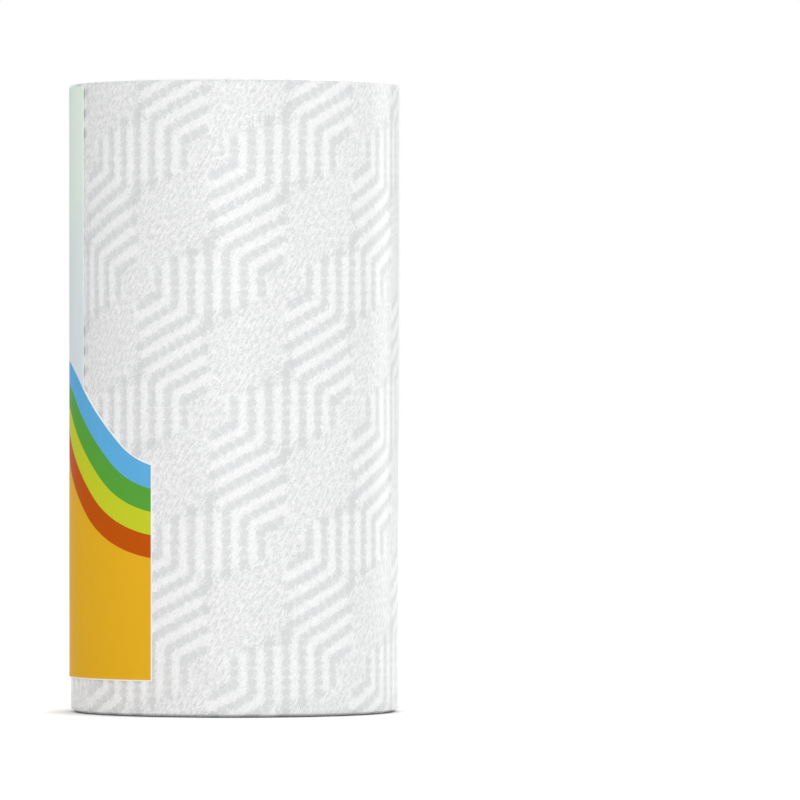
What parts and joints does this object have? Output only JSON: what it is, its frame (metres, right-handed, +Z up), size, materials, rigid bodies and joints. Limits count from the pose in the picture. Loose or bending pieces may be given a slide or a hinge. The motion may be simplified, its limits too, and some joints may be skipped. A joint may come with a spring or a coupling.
{
  "type": "paper towel roll",
  "caption": "Roll of white embossed paper towel on a cardboard core, standing on its end in a clear shrink film printed with curved colour bands.",
  "frame": {"origin": "on the roll's axis, at the surface that it stands on", "axes": "+Z up along the core, the print's middle faces -X, the film's seam faces +Y"},
  "size_m": [0.1478, 0.1478, 0.28],
  "materials": {
    "towel": "matt embossed tissue",
    "core_board": "plain grey-brown board",
    "clear_film": "thin clear shrink film",
    "blue_ink": "flat ink on clear film",
    "green_ink": "flat ink on clear film",
    "lime_ink": "flat ink on clear film",
    "red_ink": "flat ink on clear film",
    "amber_ink": "flat ink on clear film",
    "pale_ink": "pale ink, from mint to pale blue"
  },
  "bodies": {
    "root": {"towel_roll": "towel", "core_tube": "core_board", "film_sleeve": "clear_film", "blue_band": "blue_ink", "green_band": "green_ink", "lime_band": "lime_ink", "red_band": "red_ink", "amber_field": "amber_ink", "pale_panel": "pale_ink"}
  },
  "joints": []
}
